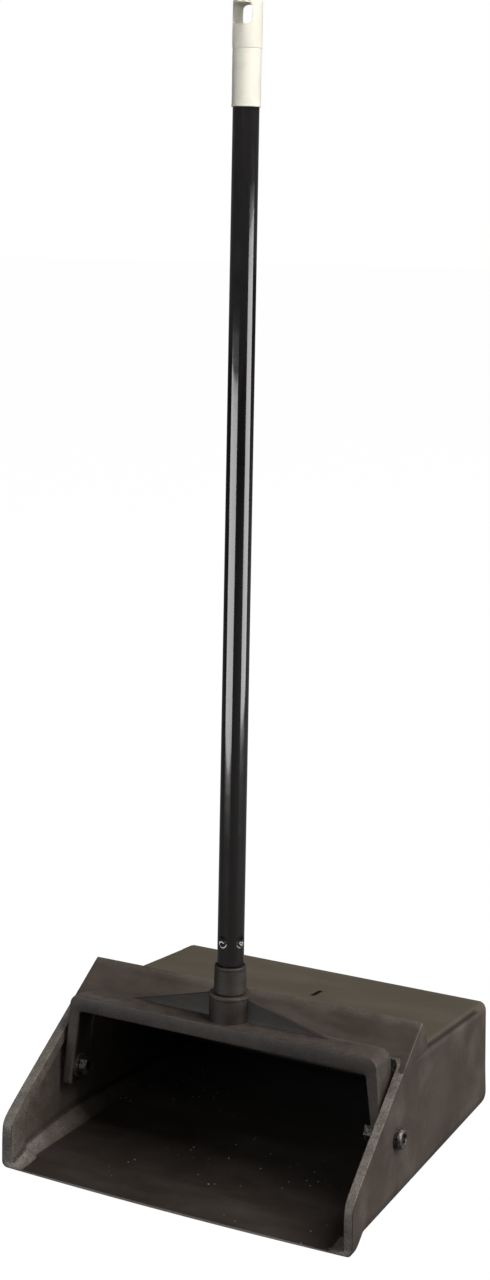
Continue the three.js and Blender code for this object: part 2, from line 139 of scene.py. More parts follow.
class Nodes:
    # short calls for a material's node tree

    def __init__(self, name):
        self.material = bpy.data.materials.new(name)
        self.material.use_nodes = True
        self.tree = self.material.node_tree
        self.shader = self.tree.nodes["Principled BSDF"]
        self.coords = self.tree.nodes.new("ShaderNodeTexCoord").outputs["Object"]

    def add(self, kind, inputs=None, **settings):
        node = self.tree.nodes.new("ShaderNode" + kind)
        for key, value in settings.items():
            setattr(node, key, value)
        for key, value in (inputs or {}).items():
            if isinstance(value, bpy.types.NodeSocket):
                self.tree.links.new(value, node.inputs[key])
            else:
                node.inputs[key].default_value = value
        return node

    def noise(self, scale, detail=4, rough=0.55, stretch=None):
        source = self.coords
        if stretch is not None:
            source = self.add("Mapping", {"Vector": source, "Scale": stretch}).outputs["Vector"]
        inputs = {"Vector": source, "Scale": scale, "Detail": detail, "Roughness": rough}
        return self.add("TexNoise", inputs).outputs["Fac"]

    def range(self, value, low, high, outLow=0.0, outHigh=1.0):
        inputs = {"Value": value, "From Min": low, "From Max": high, "To Min": outLow, "To Max": outHigh}
        return self.add("MapRange", inputs, clamp=True).outputs["Result"]

    def mix(self, factor, a, b):
        node = self.add("Mix", data_type="RGBA")
        for index, value in ((0, factor), (6, a), (7, b)):
            if isinstance(value, bpy.types.NodeSocket):
                self.tree.links.new(value, node.inputs[index])
            else:
                node.inputs[index].default_value = value
        return node.outputs[2]

    def math(self, operation, a, b=0.0):
        node = self.add("Math", {0: a, 1: b}, operation=operation)
        return node.outputs[0]

    def bump(self, height, distance, strength=1.0, normal=None):
        inputs = {"Height": height, "Distance": distance, "Strength": strength}
        if normal is not None:
            inputs["Normal"] = normal
        return self.add("Bump", inputs).outputs["Normal"]

    def set(self, **sockets):
        for key, value in sockets.items():
            socket = self.shader.inputs[key.replace("_", " ")]
            if isinstance(value, bpy.types.NodeSocket):
                self.tree.links.new(value, socket)
            else:
                socket.default_value = value
        return self.material


def gray(value, warmth=0.0):
    # a nearly neutral colour, a little warmer where warmth is above zero
    return (value * (1 + warmth), value, value * (1 - warmth), 1)


plasticLook = {
    "hopperBase": (0.038, 0.0262, 0.0200, 1),
    "hopperPale": (0.058, 0.0438, 0.0340, 1),
    "yokeBase": (0.022, 0.0155, 0.0127, 1),
    "yokePale": (0.036, 0.0265, 0.0215, 1),
    "ferruleBase": (0.0095, 0.0066, 0.0054, 1),
    "ferrulePale": (0.016, 0.012, 0.0098, 1),
    # pale grey for real scuffs and streaks, and for painted light inside the hopper
    "wornAndLit": (0.19, 0.172, 0.155, 1),
    # near black for painted shade
    "paintedShadeDark": (0.006, 0.005, 0.0045, 1),
    # pale olive for painted top light on upward faces
    "topLightOlive": (0.080, 0.068, 0.046, 1),
    "dust": (0.5, 0.47, 0.42, 1),
    "streakShare": 0.25,
    "topLightOliveShare": 0.6,
    "paintedShadeDarkShare": 0.72,
}


def mouldedPlastic(name, base, pale, roughness, gloss, dusty=False):
    # satin moulded plastic: mottled colour and fine orange peel, scuffed where worn, and lighter as painted
    # light where that mark also stands for light inside the hopper; a paler olive as painted top light;
    # darkened towards near black as painted shade; with specks where dust is
    n = Nodes(name)
    mottle = n.range(n.noise(14, 3, 0.6), 0.38, 0.66)
    streak = n.range(n.noise(30, 5, 0.6, stretch=(0.3, 1, 1)), 0.45, 0.7)
    colour = n.mix(mottle, base, pale)
    colour = n.mix(n.math("MULTIPLY", streak, plasticLook["streakShare"]), colour, plasticLook["wornAndLit"])
    # real scuffs, and inside the hopper painted light on the ramps and side walls, read from one attribute
    wearAndLight = n.add("Attribute", attribute_name="wearAndLight").outputs["Fac"]
    speckle = n.range(n.noise(700, 2, 0.7), 0.42, 0.62)
    scuffedAndLit = n.math("MULTIPLY", wearAndLight, n.range(n.noise(90, 4, 0.6), 0.3, 0.62, 0.35, 1.0))
    scuffedAndLit = n.math("MULTIPLY", scuffedAndLit, n.math("ADD", n.math("MULTIPLY", speckle, 0.6), 0.4))
    colour = n.mix(scuffedAndLit, colour, plasticLook["wornAndLit"])
    # painted top light: upward outer faces turn a paler olive
    paintedTopLight = n.add("Attribute", attribute_name="paintedTopLight").outputs["Fac"]
    colour = n.mix(n.math("MULTIPLY", paintedTopLight, plasticLook["topLightOliveShare"]), colour, plasticLook["topLightOlive"])
    # painted shade: the colour darkens towards near black
    shade = n.add("Attribute", attribute_name="shade").outputs["Fac"]
    colour = n.mix(n.math("MULTIPLY", shade, plasticLook["paintedShadeDarkShare"]), colour, plasticLook["paintedShadeDark"])
    if dusty:
        speck = n.add("TexVoronoi", {"Vector": n.coords, "Scale": 130.0}).outputs["Distance"]
        grit = n.math("MULTIPLY", n.range(speck, 0.1, 0.06), n.range(n.noise(9, 3), 0.5, 0.6))
        dust = n.add("Attribute", attribute_name="dust").outputs["Fac"]
        colour = n.mix(n.math("MULTIPLY", grit, dust), colour, plasticLook["dust"])
    rough = n.range(n.noise(22, 4, 0.6), 0.3, 0.7, roughness - 0.06, roughness + 0.1)
    grain = n.bump(n.noise(900, 3, 0.6), 0.00008, 0.5)
    peel = n.bump(n.noise(70, 3, 0.5), 0.0005, 0.25, grain)
    return n.set(Base_Color=colour, Roughness=rough, Normal=peel, Specular_IOR_Level=gloss)


tubeLook = {"base": (0.006, 0.005, 0.005, 1), "scuff": (0.022, 0.018, 0.016, 1), "roughness": 0.08}


def paintedSteel():
    # gloss black paint over steel: long faint ripples, hairline scuffs along the tube
    n = Nodes("glossBlackPaint")
    scuff = n.range(n.noise(160, 5, 0.7, stretch=(1, 1, 0.06)), 0.6, 0.78)
    colour = n.mix(n.math("MULTIPLY", scuff, 0.5), tubeLook["base"], tubeLook["scuff"])
    rough = n.range(n.noise(40, 4, 0.6), 0.35, 0.7, tubeLook["roughness"], tubeLook["roughness"] + 0.08)
    ripple = n.bump(n.noise(60, 3, 0.5, stretch=(1, 1, 0.15)), 0.0004, 0.22)
    n.set(Base_Color=colour, Roughness=rough, Normal=ripple, Specular_IOR_Level=0.6)
    return n.set(Coat_Weight=0.3, Coat_Roughness=0.03)


ivoryLook = {"clean": (0.66, 0.64, 0.565, 1), "grubby": (0.58, 0.56, 0.48, 1)}


def ivoryPlastic():
    # slightly yellowed gloss plastic with faint grubby marks
    n = Nodes("ivoryPlastic")
    grubby = n.range(n.noise(45, 5, 0.6), 0.5, 0.75)
    colour = n.mix(grubby, ivoryLook["clean"], ivoryLook["grubby"])
    rough = n.range(n.noise(120, 3), 0.3, 0.7, 0.28, 0.42)
    skin = n.bump(n.noise(260, 2), 0.0002, 0.15)
    n.set(Base_Color=colour, Roughness=rough, Normal=skin, Subsurface_Weight=0.12)
    return n.set(Subsurface_Radius=(0.004, 0.003, 0.002))


def darkMetal(name, base, bright, roughness, metallic):
    # blackened or plated steel with turning marks and rubbed patches
    n = Nodes(name)
    rubbed = n.range(n.noise(420, 4, 0.65), 0.45, 0.7)
    colour = n.mix(rubbed, base, bright)
    rough = n.range(n.noise(300, 3), 0.3, 0.7, roughness, roughness + 0.2)
    pits = n.bump(n.noise(1500, 2), 0.00006, 0.5)
    return n.set(Base_Color=colour, Roughness=rough, Normal=pits, Metallic=metallic)


look = plasticLook
hopperPlastic = mouldedPlastic("hopperPlastic", look["hopperBase"], look["hopperPale"], 0.5, 0.32, dusty=True)
# near-black plastic for the slot's walls: painted shade
slotShadePlastic = mouldedPlastic("slotShadePlastic", look["paintedShadeDark"], look["paintedShadeDark"], 0.7, 0.1)
yokePlastic = mouldedPlastic("yokePlastic", look["yokeBase"], look["yokePale"], 0.52, 0.22)
ferrulePlastic = mouldedPlastic("ferrulePlastic", look["ferruleBase"], look["ferrulePale"], 0.46, 0.19)
tubePaint = paintedSteel()
capPlastic = ivoryPlastic()
boltSteel = darkMetal("boltSteel", (0.035, 0.03, 0.028, 1), (0.2, 0.18, 0.17, 1), 0.35, 0.6)
dullSteel = darkMetal("dullSteel", (0.02, 0.018, 0.016, 1), (0.14, 0.13, 0.12, 1), 0.42, 0.9)
print("materials made")

hopperShape = {
    "lipBow": 3.4,
    "depth": 299.5,
    "backLean": 4.0,
    "sideDraft": 9.5,
    "slantFoot": 37.9,
    "slantDegrees": 33.4,
    "frontBend": 7.3,
    "hoodFront": 112.9,
    "hoodRear": 94.9,
    "ear": 11.0,
    "fasciaTop": 130.9,
    "fasciaWall": 3.2,
    "rim": 8.0,
    "sideWall": 4.5,
    "floorWall": 3.0,
    "hoodWall": 3.0,
    "backWall": 3.5,
    "lipWall": 1.3,
    "footRadius": 18.0,
    "hoodRadius": 8.0,
    "lipFootRadius": 5.0,
    "insideFootRadius": 1.0,
    "insideHoodRadius": 5.0,
    "rampWidth": 12.0,
    "rearRadiusSide": 14.0,
    "rearRadiusTop": 10.0,
    "rearRadiusFoot": 8.0,
    "topShorter": 30.0,
    "backMiddle": 48.0,
    "backGapShare": 0.004,
    "rimSetBackShare": 0.003,
    "rimCrownShare": 0.0035,
}
shape = hopperShape
lipY = hopperLow[1] + shape["lipBow"]
halfMouth = hopperHigh[0]
slope = math.tan(math.radians(shape["slantDegrees"]))
slantY = lambda z: (z - shape["slantFoot"]) / slope
hoodFrontY = slantY(shape["hoodFront"])
hoodRearY = shape["depth"] - shape["backLean"]
hoodFall = (shape["hoodFront"] - shape["hoodRear"]) / (hoodRearY - hoodFrontY)
hoodZ = lambda y: shape["hoodFront"] - hoodFall * (y - hoodFrontY)
halfWidth = lambda y: halfMouth - shape["sideDraft"] / shape["depth"] * y
rearY = lambda z: shape["depth"] - shape["backLean"] * z / shape["hoodRear"]


def frontY(z):
    # the mouth's edge: upright at the foot, bending smoothly into the slanted line
    reach = slantY(z)
    return 0.5 * (reach + np.sqrt(reach**2 + shape["frontBend"] ** 2))


def sectionColumns(bottom=64, foot=18, side=48, corner=30, top=64):
    # a loop round a rounded rectangle: where each column sits on the inner rectangle,
    # and the outward direction of its corner arc
    def half(sign):
        quarter = np.linspace(0, math.pi / 2, foot + 2)[1:-1]
        up = np.linspace(-1, 1, side)
        hood = np.linspace(0, math.pi / 2, corner + 2)[1:-1]
        ex = np.concatenate([np.ones(foot), np.ones(side), np.ones(corner)])
        ez = np.concatenate([-np.ones(foot), up, np.ones(corner)])
        nx = np.concatenate([np.sin(quarter), np.ones(side), np.cos(hood)])
        nz = np.concatenate([-np.cos(quarter), np.zeros(side), np.sin(hood)])
        return np.stack([sign * ex, ez, sign * nx, nz])

    floor = np.linspace(-1, 1, bottom)
    ceiling = np.linspace(1, -1, top)
    low = np.stack([floor, -np.ones(bottom), np.zeros(bottom), -np.ones(bottom)])
    high = np.stack([ceiling, np.ones(top), np.zeros(top), np.ones(top)])
    return np.concatenate([low, half(1), high, half(-1)[:, ::-1]], axis=1)


def sectionRing(columns, t, side, bottom, top, footRadius, hoodRadius, rampHeight=0.0):
    # one ring of the hopper at a share t of the way from the mouth's edge to the back,
    # drawn in by the walls' thicknesses; a ramp height above zero gives the inside's foot
    # ex and ez place a column on the inner rectangle, nx and nz are its arc's direction
    ex, ez, nx, nz = columns
    z0, z1 = bottom, hoodZ(hoodFrontY + t * (hoodRearY - hoodFrontY)) - top
    radius = np.where(ez < 0, footRadius, hoodRadius)
    share = (ez + 1) / 2
    inFoot = (ez < 0) & (np.abs(nx) < 1)
    if rampHeight > 0:
        run = np.degrees(np.arcsin(np.clip(np.abs(nx), 0, 1))) / 90
        onFloor = nz <= -1 + 1e-9
        footTop = z0 + rampHeight
        z = footTop + share * (z1 - hoodRadius - footTop) + hoodRadius * np.where(ez > 0, nz, 0)
        z = np.where(inFoot, z0 + rampHeight * np.where(onFloor, 0, run) ** 1.25, z)
        y = frontY(z) + t * (rearY(z) - frontY(z))
        wall = halfWidth(y) - side
        x = ex * (wall - shape["rampWidth"])
        x = np.where(inFoot & ~onFloor, np.sign(ex) * (wall - shape["rampWidth"] * (1 - run)), x)
        x = np.where(~inFoot, ex * (wall - hoodRadius) + hoodRadius * nx, x)
        x = np.where((~inFoot) & (ez < 1), np.sign(ex) * wall, x)
    else:
        lowEnd, highEnd = z0 + footRadius, z1 - hoodRadius
        z = lowEnd + share * (highEnd - lowEnd) + radius * nz
        y = frontY(z) + t * (rearY(z) - frontY(z))
        x = ex * (halfWidth(y) - side - radius) + radius * nx
    bow = shape["lipBow"] * (1 - (x / halfMouth) ** 2) * np.exp(-np.maximum(z, 0) / 4) * (1 - t) ** 12
    return np.stack([x, y - bow, z], axis=-1)


def hopperRows(columns):
    # rings from the back's outside forward to the mouth, over the rim and back along the inside
    _, ez, nx, nz = columns
    flat = np.abs(nx)
    rearUpDown = np.where(nz > 0, shape["rearRadiusTop"], shape["rearRadiusFoot"])
    rearRadius = shape["rearRadiusSide"] * nx**2 + rearUpDown * nz**2
    footGrowth = shape["footRadius"] - shape["lipFootRadius"]
    footAt = lambda t: shape["lipFootRadius"] + footGrowth * smoothStep(t * shape["depth"], 6, 30)
    rampAt = lambda t: np.interp(t, *zip(*rampHeights))
    rows, wearAndLight = [], []

    def turnIn(base, inset, back):
        # draws a ring in along its own outward direction and carries it backwards
        moved = base.copy()
        moved[:, 0] -= nx * inset
        moved[:, 2] -= nz * inset
        moved[:, 1] += back
        return moved

    def add(ring, scuff=0.0):
        rows.append(ring)
        wearAndLight.append(np.broadcast_to(scuff, flat.shape))

    endShare = 1 - rearRadius / (shape["depth"] - shape["topShorter"] * (ez + 1) / 2)
    outerEnd = sectionRing(columns, endShare, 0, 0, 0, footAt(1), shape["hoodRadius"])
    edge = turnIn(outerEnd, rearRadius, rearRadius)
    edge[:, 1] = rearY(edge[:, 2])
    middle = np.array([0, rearY(shape["backMiddle"]), shape["backMiddle"]])
    for grow in backShares:
        ring = middle + (edge - middle) * grow
        ring[:, 1] = rearY(ring[:, 2])
        add(ring)
    for angle in backAngles:
        ring = turnIn(outerEnd, rearRadius * (1 - math.cos(angle)), rearRadius * math.sin(angle))
        add(ring, 0.25 * math.sin(2 * angle) ** 4)
    for t in bodyShares[::-1]:
        ring = sectionRing(columns, t * endShare, 0, 0, 0, footAt(t), shape["hoodRadius"])
        add(cutGroove(ring, columns), 0.16 * np.exp(-(((np.abs(nx) - 0.7) / 0.3) ** 2)))
    rimInner = (shape["rim"], shape["lipWall"], shape["hoodWall"])
    insideRadii = (shape["insideFootRadius"], shape["insideHoodRadius"])
    for a in rimShares:
        # the crown rounds the outer tenth of the rim's width on each side
        pastFlat = np.maximum(np.abs(2 * a - 1) - 0.8, 0) / 0.2
        crown = shape["rimCrownShare"] * (1 - np.sqrt(np.maximum(0, 1 - pastFlat**2)))
        t = shape["rimSetBackShare"] * a * flat**2 + crown * flat
        outer = sectionRing(columns, t, 0, 0, 0, footAt(0), shape["hoodRadius"])
        inner = sectionRing(columns, t, *rimInner, *insideRadii, rampAt(0))
        add(outer + (inner - outer) * a, 1.35 * flat + 0.5 * (1 - flat))
    for t in bodyShares[1:]:
        wall = shape["rim"] + (shape["sideWall"] - shape["rim"]) * smoothStep(t, 0.07, 0.085)
        floor = shape["lipWall"] + (shape["floorWall"] - shape["lipWall"]) * smoothStep(t, 0, 0.1)
        start = shape["rimSetBackShare"] * flat**2 * (1 - t)
        way = start + t * (endShare - shape["backGapShare"])
        ring = sectionRing(columns, way, wall, floor, shape["hoodWall"], *insideRadii, rampAt(t))
        add(ring, 0.5 * np.exp(-t / 0.02) * flat)
    innerRadius = np.maximum(rearRadius - shape["backWall"], 1)
    base = rows[-1]
    reach = rearY(base[:, 2]) - shape["backWall"] - base[:, 1]
    for angle in np.radians(np.linspace(8, 90, 9)):
        ring = turnIn(base, innerRadius * (1 - math.cos(angle)), reach * math.sin(angle))
        add(ring)
    edge = rows[-1]
    for shrink in (0.8, 0.55, 0.3, 0.05):
        add(np.array([0, 0, shape["backMiddle"]]) * (1 - shrink) + edge * [shrink, 1, shrink])
    return np.array(rows), np.array(wearAndLight)


# how far out the back's rings are, then the angles at which it turns into the walls
backShares = (0.05, 0.3, 0.55, 0.8, 0.95)
backAngles = np.radians(np.linspace(90, 8, 11))
# shares of the way back, closer together near the mouth; shares of the way over the rim; and
# the height of the inside's side ramps at each share of the way back
bodyShares = np.linspace(0, 1, 84) ** 1.5
rimShares = np.array([0, 0.02, 0.05, 0.09, 0.16, 0.3, 0.5, 0.7, 0.84, 0.91, 0.95, 0.98, 1])
rampHeights = [(0, 1.5), (0.09, 6.5), (0.17, 9.5), (0.25, 12), (0.35, 13.5), (0.5, 11), (0.75, 6), (1, 3)]


grooveShape = {"front": (153, 157), "rear": (268, 278), "middle": 45, "spread": 15, "depth": 2.3}


def grooveProfile(ring, columns):
    # how deep, from 0 to 1, the groove along each of the hood's side edges is: it fades in and
    # out along the edge, and across it is a bell curve over the corner's arc in degrees
    _, ez, nx, nz = columns
    g = grooveShape
    along = smoothStep(ring[:, 1], *g["front"]) * (1 - smoothStep(ring[:, 1], *g["rear"]))
    across = np.exp(-(((np.degrees(np.arctan2(np.abs(nz), np.abs(nx))) - g["middle"]) / g["spread"]) ** 2))
    return along * across * (ez > 0.999) * (nz > 0)


def cutGroove(ring, columns):
    # sinks a ring's corners along their own outward direction
    depth = grooveShape["depth"] * grooveProfile(ring, columns)
    moved = ring.copy()
    moved[:, 0] -= columns[2] * depth
    moved[:, 2] -= columns[3] * depth
    return moved


def intoPlace(rows):
    # from the hopper's own frame, whose y starts at the lip, to the shared one
    moved = rows.copy()
    moved[..., 1] += lipY
    return moved


def cutWith(piece, cutter):
    # cuts one closed mesh out of another and keeps the result as the piece's own mesh
    tool = piece.modifiers.new("cut", "BOOLEAN")
    tool.object = cutter
    tool.solver = "MANIFOLD"
    made = bpy.data.meshes.new_from_object(piece.evaluated_get(bpy.context.evaluated_depsgraph_get()))
    piece.modifiers.remove(tool)
    piece.data = made
    bpy.data.objects.remove(cutter)


def finishPiece(piece, material, body, slot, *nodes):
    # a piece's material, the body it rides on and the solids it stands in for; its slot is not used
    piece.data.materials.clear()
    piece.data.materials.append(material)
    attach(piece, body)
    if nodes:
        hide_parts(*nodes)


def roundedBox(low, high, radius, steps=4):
    # rows of a closed box with rounded edges: a rounded rectangle carried along y
    low, high = np.array(low, float), np.array(high, float)
    quarter = np.linspace(0, math.pi / 2, steps + 1)
    around = np.concatenate([quarter + k * math.pi / 2 for k in range(4)])
    signs = np.repeat([[1, 1], [-1, 1], [-1, -1], [1, -1]], steps + 1, axis=0)
    middle, half = (low + high) / 2, (high - low) / 2
    levels = [(radius * (1 - math.sin(a)), low[1] + radius * (1 - math.cos(a))) for a in quarter]
    levels += [(inset, low[1] + high[1] - y) for inset, y in levels[::-1]]
    made = []
    for inset, y in levels:
        x = middle[0] + signs[:, 0] * (half[0] - radius) + (radius - inset) * np.cos(around)
        z = middle[2] + signs[:, 1] * (half[2] - radius) + (radius - inset) * np.sin(around)
        made.append(np.stack([x, np.full_like(x, y), z], axis=-1))
    return np.array(made)


slotShape = {"x": 17.0, "y": 225.0, "width": 3.4, "length": 17.0, "low": 85, "high": 120, "edge": 1.2}
# strengths of painted shade on the floor near the mouth, in the creases and in the groove, how far the ramps
# are lifted out of it, and of painted light on the ramps and inner side walls
hopperShade = {"floor": 0.87, "ramp": 0.7, "creaseShade": 0.8, "rampPaintedHighlight": 0.5, "sideScuffAndLight": 0.8, "groove": 1.25}


def shadeHopper(rows, wearAndLight, columns):
    # wear, painted shade, painted top light and inside for each point: painted shade darkens the inside
    # with the share of the way back, its floor soonest, and the creases above the ramps; the ramps get a
    # painted highlight, side walls near the mouth real scuffs and painted light; the groove gets painted
    # shade and upward outer faces painted top light
    _, ez, nx, nz = columns
    look = hopperShade
    firstInside = len(backShares) + len(backAngles) + len(bodyShares) + len(rimShares)
    inside = np.zeros(rows.shape[:2])
    inside[firstInside:] = 1
    depth = np.clip((rows[..., 1] - frontY(rows[..., 2])) / shape["depth"], 0, 1)
    fromMiddle = smoothStep(depth, 0.3, 0.7)
    onSide = np.abs(nx) ** 0.5 * (ez < 1)
    onFloor = look["floor"] + (1 - look["floor"]) * smoothStep(depth, 0.02, 0.3)
    # the ramps, near the mouth: lifted out of the painted shade as a painted highlight
    onRamp = (np.abs(nx) > 0.05) * (np.abs(nx) < 0.97) * (ez < 0) * (1 - smoothStep(depth, 0.08, 0.5))
    # a painted-shade line along the crease above each ramp
    creaseShade = np.exp(-(((ez + 1) / 0.06) ** 2)) * (np.abs(nx) > 0.97) * (depth > 0.01)
    # painted shade: the inside darkens with the way back, its floor soonest
    shade = inside * (onSide * fromMiddle + (1 - onSide) * onFloor)
    shade = shade * (1 - look["ramp"] * onRamp * inside) + look["creaseShade"] * creaseShade * inside
    # painted highlight on the ramps, carried with the wear
    wearAndLight = wearAndLight + look["rampPaintedHighlight"] * onRamp * inside * (1 - fromMiddle)
    # real scuffs and painted light on the inner side walls near the mouth
    wearAndLight = wearAndLight + look["sideScuffAndLight"] * inside * onSide * np.exp(-depth / 0.22)
    # painted shade along the hood's groove
    groove = grooveProfile(rows.reshape(-1, 3), np.tile(columns, len(rows))).reshape(inside.shape)
    shade = shade + look["groove"] * (1 - inside) * groove
    # painted top light on the upward outer faces, not on the rim
    paintedTopLight = (1 - inside) * smoothStep(nz, 0.3, 0.95) * (ez > 0.99)
    paintedTopLight[firstInside - len(rimShares):firstInside] = 0
    return wearAndLight, shade, paintedTopLight, inside


def makeHopper():
    # the shell from its rings, with the short slot cut through the hood
    columns = sectionColumns()
    rows, wearAndLight = hopperRows(columns)
    shell = closedSurface("hopperShell", intoPlace(rows), 50)
    layers = shadeHopper(rows, wearAndLight, columns)
    # the last two values belong to the poles outside and inside the back
    poles = {"wearAndLight": [0, 0], "shade": [0, 1], "paintedTopLight": [0, 0], "dust": [0, 1]}
    for (name, ends), values in zip(poles.items(), layers):
        setAttribute(shell, name, np.concatenate([values.ravel(), ends]))
    slot = slotShape
    middleY = slot["y"] + lipY
    low = [slot["x"] - slot["width"] / 2, middleY - slot["length"] / 2, slot["low"]]
    high = [slot["x"] + slot["width"] / 2, middleY + slot["length"] / 2, slot["high"]]
    cutWith(shell, closedSurface("slotCutter", roundedBox(low, high, slot["edge"])))
    finishPiece(shell, hopperPlastic, "pan", "hopper_plastic", "hopper")
    paintSlotShade(shell, low, high)


def paintSlotShade(shell, low, high):
    # the slot's own walls, which stand upright inside its outline, take a near-black plastic as painted shade
    faces = len(shell.data.polygons)
    centres, normals = np.empty(faces * 3), np.empty(faces * 3)
    shell.data.polygons.foreach_get("center", centres)
    shell.data.polygons.foreach_get("normal", normals)
    centres, normals = centres.reshape(-1, 3) / mm, normals.reshape(-1, 3)
    within = np.all((centres > np.array(low) - 0.1) & (centres < np.array(high) + 0.1), axis=1)
    walls = within & (np.abs(normals[:, 2]) < 0.6)
    shell.data.materials.append(slotShadePlastic)
    shell.data.polygons.foreach_set("material_index", walls.astype(np.int32))


makeHopper()
print("hopper shell made")


# heights of the fascia's front and back faces from its foot up and down again, and the ear's
# outline: up the slanted front, over its top as [y past the fascia's top, z] and down behind
# as [y past the ear's rear, z]
mouthShape = {
    "stripFront": (111.2, 118.0, 126.0, 130.6),
    "stripBack": (130.0, 122.0, 116.5, 113.4, 111.6),
    "stripFoot": 110.6,
    "earFoot": 104.0,
    "earFront": (116.0, 126.0, 129.6),
    "earTop": ((-0.2, 130.65), (1.2, 129.9), (2.4, 127.6), (6.5, 119.4)),
    "earRear": ((-1.0, 110.8), (0.4, 107.9)),
    "earSunk": 20,
    "proud": 0.05,
    "wave": 0.35,
}


def mouthOutlines():
    # the leaning strip's outline and the ear's, with as many points each, in y and z
    m = mouthShape
    slant = math.radians(shape["slantDegrees"])
    lean = np.array([math.sin(slant), -math.cos(slant)])
    topZ, wall = shape["fasciaTop"], shape["fasciaWall"]
    topY = slantY(topZ)
    earRearY = topY + shape["ear"]
    front = lambda z: np.array([slantY(z), z]) - m["proud"] * lean
    strip = [front(z) for z in m["stripFront"]]
    strip += [front(topZ) + 0.35 * lean, front(topZ) + 0.75 * wall * lean]
    strip += [front(z) + wall * lean for z in m["stripBack"]]
    strip += [front(m["stripFoot"]) + 0.5 * wall * lean]
    ear = [front(m["earFoot"])] + [front(z) for z in m["earFront"]]
    ear += [np.array([topY + y, z]) for y, z in m["earTop"]]
    ear += [np.array([earRearY + y, z]) for y, z in m["earRear"]]
    ear += [np.array([earRearY + 0.8, m["earFoot"] + 1])]
    ear += [np.array([slantY(m["earFoot"]) + m["earSunk"], m["earFoot"]])]
    return np.array(strip), np.array(ear)


def makeMouthFrame():
    # an outline carried from side to side: a thin leaning strip that deepens into a full ear
    # at each end, inside the side wall's thickness, with a slight wave along its top
    strip, ear = mouthOutlines()
    inner = 1 - (shape["sideWall"] + 0.1) / halfMouth
    edgeStart = 0.994
    ends = np.array([0, 0.25, 0.5, 0.75, 0.9, 0.95])
    ends = np.concatenate([ends, inner + np.array([-0.018, -0.008, -0.004, -0.001, 0.002, 0.01])])
    ends = np.concatenate([ends, [edgeStart, 0.9975, 0.9995, 1.0]])
    shares = np.concatenate([-ends[::-1], ends[1:]])
    rows = []
    for u in shares:
        deep = smoothStep(abs(u), inner - 0.012, inner)
        outline = strip * (1 - deep) + ear * deep
        wave = mouthShape["wave"] * math.sin(5.2 * u + 0.7) * (1 - deep)
        outline = outline + wave * np.exp(-((outline[:, 1:] - 131) / 9) ** 2) * [0.55, -0.83] * 0.6
        edge = max(abs(u) - edgeStart, 0) / 0.006
        centre = outline.mean(axis=0)
        outline = centre + (outline - centre) * (1 - 0.05 * edge**2)
        x = u * (halfWidth(outline[:, 0]) + 0.04)
        rows.append(np.stack([x, outline[:, 0], outline[:, 1]], axis=-1))
    rows = np.array(rows)
    piece = closedSurface("mouthFrame", intoPlace(rows), 35)
    wearAndLight = np.zeros(rows.shape[:2])
    wearAndLight[:, 3:7] = 0.35
    setAttribute(piece, "wearAndLight", np.concatenate([wearAndLight.ravel(), [0.2, 0.2]]))
    finishPiece(piece, hopperPlastic, "pan", "hopper_plastic", "hopper")


makeMouthFrame()
print("mouth frame made")

handleShape = {"lean": 2.2, "offset": 8.0}
ribShape = {
    "front": 15.35,
    "depth": 6.0,
    "low": 14.0,
    "high": 47.0,
    "reach": 8.6,
    "behindPivot": 18,
    "sunk": 2,
    "edge": 1.2,
}


def makeStopRibs():
    # the ribs behind the yoke's arms, which lean with the handle at rest
    r = ribShape
    wallX = halfWidth(pivot[1] - lipY + r["behindPivot"])
    low = [wallX - shape["sideWall"] - r["reach"], r["front"], r["low"]]
    high = [wallX - r["sunk"], r["front"] + r["depth"], r["high"]]
    for side, name in ((1, "stopRibRight"), (-1, "stopRibLeft")):
        rows = handleFrame(roundedBox(low, high, r["edge"]))
        rows[..., 0] *= side
        finishPiece(closedSurface(name, rows), hopperPlastic, "pan", "hopper_plastic")


makeStopRibs()
print("stop ribs made")

yokeShape = {
    "front": -12.4,
    "rear": 14.9,
    "barBottom": 50.0,
    "barTop": 63.4,
    "arm": 8.0,
    "innerSplay": 0.13,
    "outerSplay": 0.085,
    "foot": -14.3,
    "footRadius": 3.0,
    "outerRadius": 8.5,
    "innerRadius": 4.0,
    "edge": 1.3,
    "hollow": 10.3,
    "skin": 3.0,
    "armGap": 1.6,
    "hollowEnds": (-126.5, -125.5),
}


def archPath(foot, atZero, splay, top, radius, share):
    # half of the yoke's outline: up a splayed arm, round the corner and along the bar to the
    # middle, as a function of a share from 0 at the foot to 1 at the middle
    direction = np.array([-splay, 1]) / math.hypot(splay, 1)
    cornerX = atZero - splay * top
    corner = np.array([cornerX, top])
    turn = math.pi / 2 - math.atan(splay)
    reach = radius * math.tan(turn / 2)
    start = np.array([atZero - splay * foot, foot])
    armEnd = corner - direction * reach
    barStart = corner + np.array([-reach, 0])
    arm = np.clip(share / 0.4, 0, 1)[:, None]
    bend = np.clip((share - 0.4) / 0.2, 0, 1)
    bar = np.clip((share - 0.6) / 0.4, 0, 1)[:, None]
    centre = barStart - np.array([0, radius])
    angle = math.atan(splay) + bend * turn
    curve = centre + radius * np.stack([np.cos(angle), np.sin(angle)], axis=-1)
    onArm = start + (armEnd - start) * arm
    onBar = barStart + (np.array([0, top]) - barStart) * bar
    share = share[:, None]
    return np.where(share < 0.4, onArm, np.where(share < 0.6, curve, onBar))


